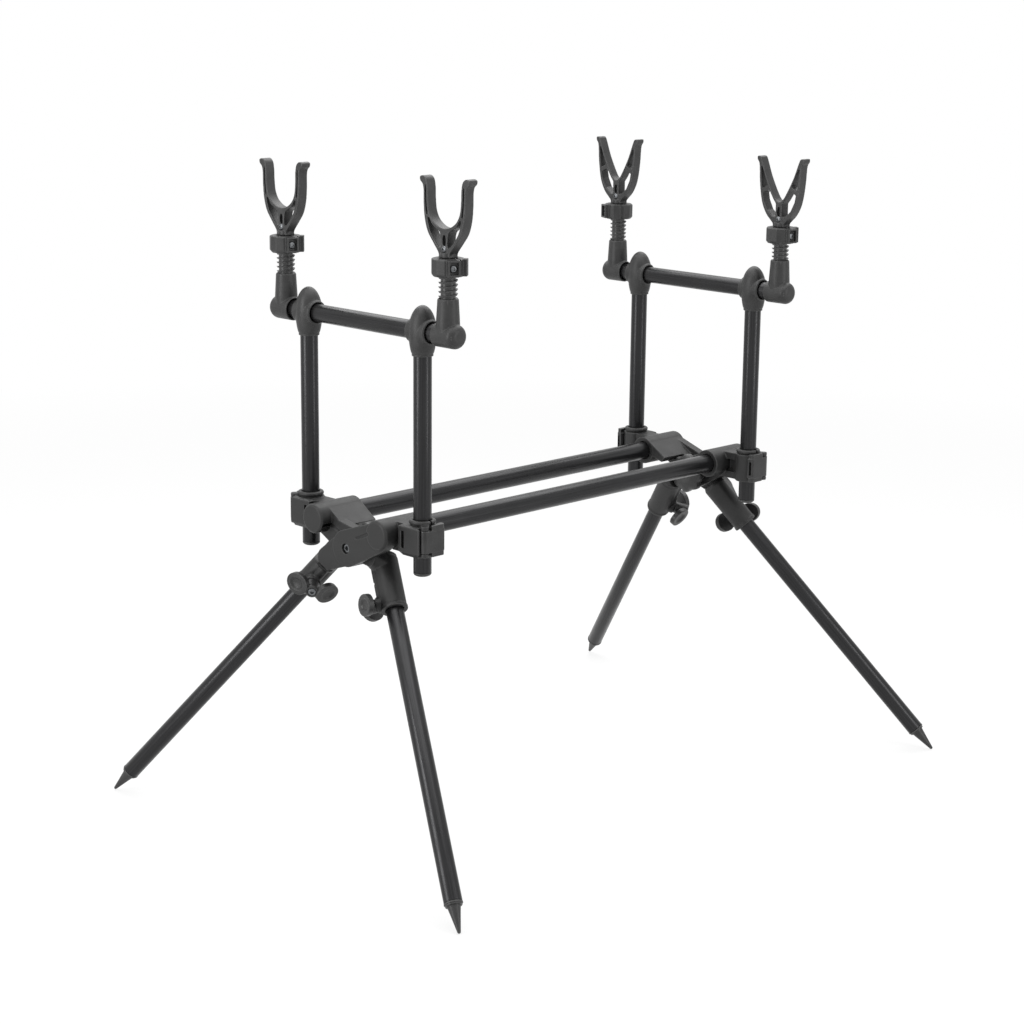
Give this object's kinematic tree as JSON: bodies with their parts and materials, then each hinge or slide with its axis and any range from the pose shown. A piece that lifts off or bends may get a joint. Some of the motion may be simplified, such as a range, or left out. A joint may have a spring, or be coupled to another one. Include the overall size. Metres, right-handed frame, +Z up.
{
  "type": "two-rod fishing rod stand",
  "caption": "Free-standing fishing rod stand: twin main bars, splayed spiked legs on crossing brackets, height-adjustable uprights and swivelling U and V rod rests.",
  "frame": {"origin": "on the ground, below the middle of the stand", "axes": "+X along the two main bars to the rear end, +Y to the left, +Z up"},
  "size_m": [0.6728, 0.4756, 0.6009],
  "materials": {
    "anodised_tube": "satin black anodised aluminium tube",
    "moulded_fitting": "matt black moulded nylon",
    "rod_rest": "matt black moulded plastic, slightly flexible",
    "knob": "satin black moulded plastic",
    "threaded_stud": "black plastic with a coarse thread",
    "spike": "black hard plastic spike",
    "screw_steel": "bright zinc-plated steel"
  },
  "bodies": {
    "stand": {"main_bar_left": "anodised_tube", "main_bar_right": "anodised_tube", "leg_bracket_front_left": "moulded_fitting", "leg_bracket_front_right": "moulded_fitting", "leg_bracket_rear_left": "moulded_fitting", "leg_bracket_rear_right": "moulded_fitting", "pivot_bolt_front": "screw_steel", "pivot_bolt_rear": "screw_steel"},
    "goalpost_front": {"crossbar_front": "anodised_tube", "upright_front_left": "anodised_tube", "end_plug_front_left": "moulded_fitting", "upright_head_front_left": "moulded_fitting", "upright_front_right": "anodised_tube", "end_plug_front_right": "moulded_fitting", "upright_head_front_right": "moulded_fitting"},
    "hand_nut_front": {"hand_nut_front": "knob"},
    "leg_front_left": {"leg_tube_front_left": "anodised_tube", "leg_spike_front_left": "spike"},
    "knob_front_left": {"wing_knob_front_left": "knob", "knob_screw_front_left": "screw_steel"},
    "lever_front_left": {"clamp_lever_front_left": "knob"},
    "elbow_front_left": {"elbow_front_left": "moulded_fitting", "stud_front_left": "threaded_stud"},
    "collar_front_left": {"lock_collar_front_left": "moulded_fitting"},
    "rest_front_left": {"rod_rest_front_left": "rod_rest"},
    "leg_front_right": {"leg_tube_front_right": "anodised_tube", "leg_spike_front_right": "spike"},
    "knob_front_right": {"wing_knob_front_right": "knob", "knob_screw_front_right": "screw_steel"},
    "lever_front_right": {"clamp_lever_front_right": "knob"},
    "elbow_front_right": {"elbow_front_right": "moulded_fitting", "stud_front_right": "threaded_stud"},
    "collar_front_right": {"lock_collar_front_right": "moulded_fitting"},
    "rest_front_right": {"rod_rest_front_right": "rod_rest"},
    "goalpost_rear": {"crossbar_rear": "anodised_tube", "upright_rear_left": "anodised_tube", "end_plug_rear_left": "moulded_fitting", "upright_head_rear_left": "moulded_fitting", "upright_rear_right": "anodised_tube", "end_plug_rear_right": "moulded_fitting", "upright_head_rear_right": "moulded_fitting"},
    "hand_nut_rear": {"hand_nut_rear": "knob"},
    "leg_rear_left": {"leg_tube_rear_left": "anodised_tube", "leg_spike_rear_left": "spike"},
    "knob_rear_left": {"wing_knob_rear_left": "knob", "knob_screw_rear_left": "screw_steel"},
    "lever_rear_left": {"clamp_lever_rear_left": "knob"},
    "elbow_rear_left": {"elbow_rear_left": "moulded_fitting", "stud_rear_left": "threaded_stud"},
    "collar_rear_left": {"lock_collar_rear_left": "moulded_fitting"},
    "rest_rear_left": {"rod_rest_rear_left": "rod_rest"},
    "leg_rear_right": {"leg_tube_rear_right": "anodised_tube", "leg_spike_rear_right": "spike"},
    "knob_rear_right": {"wing_knob_rear_right": "knob", "knob_screw_rear_right": "screw_steel"},
    "lever_rear_right": {"clamp_lever_rear_right": "knob"},
    "elbow_rear_right": {"elbow_rear_right": "moulded_fitting", "stud_rear_right": "threaded_stud"},
    "collar_rear_right": {"lock_collar_rear_right": "moulded_fitting"},
    "rest_rear_right": {"rod_rest_rear_right": "rod_rest"}
  },
  "joints": [
    {"name": "goalpost_height_front", "type": "slide", "parent": "stand", "child": "goalpost_front", "axis": [0, 0, 1], "range_m": [-0.138, 0.012]},
    {"name": "hand_nut_turn_front", "type": "hinge", "parent": "stand", "child": "hand_nut_front", "pos_m": [-0.2251, 0, 0.267], "axis": [1, 0, 0], "continuous": true},
    {"name": "leg_length_front_left", "type": "slide", "parent": "stand", "child": "leg_front_left", "axis": [-0.3334, 0.5797, -0.7435], "range_m": [0, 0.015]},
    {"name": "knob_turn_front_left", "type": "hinge", "parent": "stand", "child": "knob_front_left", "pos_m": [-0.23294, 0.05793, 0.22858], "axis": [-0.6551, -0.7096, -0.2596], "continuous": true},
    {"name": "clamp_lever_turn_front_left", "type": "hinge", "parent": "stand", "child": "lever_front_left", "pos_m": [-0.2293, 0.088, 0.287], "axis": [0, 0, 1], "range_deg": [0, 110]},
    {"name": "elbow_tilt_front_left", "type": "hinge", "parent": "goalpost_front", "child": "elbow_front_left", "pos_m": [-0.2205, 0.107, 0.4683], "axis": [0, 1, 0], "range_deg": [-35, 35]},
    {"name": "collar_turn_front_left", "type": "hinge", "parent": "elbow_front_left", "child": "collar_front_left", "pos_m": [-0.2205, 0.107, 0.5185], "axis": [0, 0, 1], "continuous": true},
    {"name": "rest_turn_front_left", "type": "hinge", "parent": "elbow_front_left", "child": "rest_front_left", "pos_m": [-0.2205, 0.107, 0.5343], "axis": [0, 0, 1], "continuous": true},
    {"name": "leg_length_front_right", "type": "slide", "parent": "stand", "child": "leg_front_right", "axis": [-0.3137, -0.6115, -0.7264], "range_m": [0, 0.015]},
    {"name": "knob_turn_front_right", "type": "hinge", "parent": "stand", "child": "knob_front_right", "pos_m": [-0.22998, -0.04752, 0.22566], "axis": [-0.668, 0.6859, -0.2888], "continuous": true},
    {"name": "clamp_lever_turn_front_right", "type": "hinge", "parent": "stand", "child": "lever_front_right", "pos_m": [-0.2293, -0.088, 0.287], "axis": [0, 0, 1], "range_deg": [-110, 0]},
    {"name": "elbow_tilt_front_right", "type": "hinge", "parent": "goalpost_front", "child": "elbow_front_right", "pos_m": [-0.2205, -0.107, 0.4683], "axis": [0, 1, 0], "range_deg": [-35, 35]},
    {"name": "collar_turn_front_right", "type": "hinge", "parent": "elbow_front_right", "child": "collar_front_right", "pos_m": [-0.2205, -0.107, 0.5185], "axis": [0, 0, 1], "continuous": true},
    {"name": "rest_turn_front_right", "type": "hinge", "parent": "elbow_front_right", "child": "rest_front_right", "pos_m": [-0.2205, -0.107, 0.5343], "axis": [0, 0, 1], "continuous": true},
    {"name": "goalpost_height_rear", "type": "slide", "parent": "stand", "child": "goalpost_rear", "axis": [0, 0, 1], "range_m": [-0.134, 0.016]},
    {"name": "hand_nut_turn_rear", "type": "hinge", "parent": "stand", "child": "hand_nut_rear", "pos_m": [0.2251, 0, 0.267], "axis": [-1, 0, 0], "continuous": true},
    {"name": "leg_length_rear_left", "type": "slide", "parent": "stand", "child": "leg_rear_left", "axis": [0.3137, 0.6115, -0.7264], "range_m": [0, 0.015]},
    {"name": "knob_turn_rear_left", "type": "hinge", "parent": "stand", "child": "knob_rear_left", "pos_m": [0.22998, 0.04752, 0.22566], "axis": [0.668, -0.6859, -0.2888], "continuous": true},
    {"name": "clamp_lever_turn_rear_left", "type": "hinge", "parent": "stand", "child": "lever_rear_left", "pos_m": [0.2293, 0.088, 0.287], "axis": [0, 0, 1], "range_deg": [-110, 0]},
    {"name": "elbow_tilt_rear_left", "type": "hinge", "parent": "goalpost_rear", "child": "elbow_rear_left", "pos_m": [0.2205, 0.107, 0.4643], "axis": [0, 1, 0], "range_deg": [-35, 35]},
    {"name": "collar_turn_rear_left", "type": "hinge", "parent": "elbow_rear_left", "child": "collar_rear_left", "pos_m": [0.2205, 0.107, 0.5181], "axis": [0, 0, 1], "continuous": true},
    {"name": "rest_turn_rear_left", "type": "hinge", "parent": "elbow_rear_left", "child": "rest_rear_left", "pos_m": [0.2205, 0.107, 0.5339], "axis": [0, 0, 1], "continuous": true},
    {"name": "leg_length_rear_right", "type": "slide", "parent": "stand", "child": "leg_rear_right", "axis": [0.3334, -0.5797, -0.7435], "range_m": [0, 0.015]},
    {"name": "knob_turn_rear_right", "type": "hinge", "parent": "stand", "child": "knob_rear_right", "pos_m": [0.23294, -0.05793, 0.22858], "axis": [0.6551, 0.7096, -0.2596], "continuous": true},
    {"name": "clamp_lever_turn_rear_right", "type": "hinge", "parent": "stand", "child": "lever_rear_right", "pos_m": [0.2293, -0.088, 0.287], "axis": [0, 0, 1], "range_deg": [0, 110]},
    {"name": "elbow_tilt_rear_right", "type": "hinge", "parent": "goalpost_rear", "child": "elbow_rear_right", "pos_m": [0.2205, -0.107, 0.4643], "axis": [0, 1, 0], "range_deg": [-35, 35]},
    {"name": "collar_turn_rear_right", "type": "hinge", "parent": "elbow_rear_right", "child": "collar_rear_right", "pos_m": [0.2205, -0.107, 0.5124], "axis": [0, 0, 1], "continuous": true},
    {"name": "rest_turn_rear_right", "type": "hinge", "parent": "elbow_rear_right", "child": "rest_rear_right", "pos_m": [0.2205, -0.107, 0.5282], "axis": [0, 0, 1], "continuous": true}
  ]
}
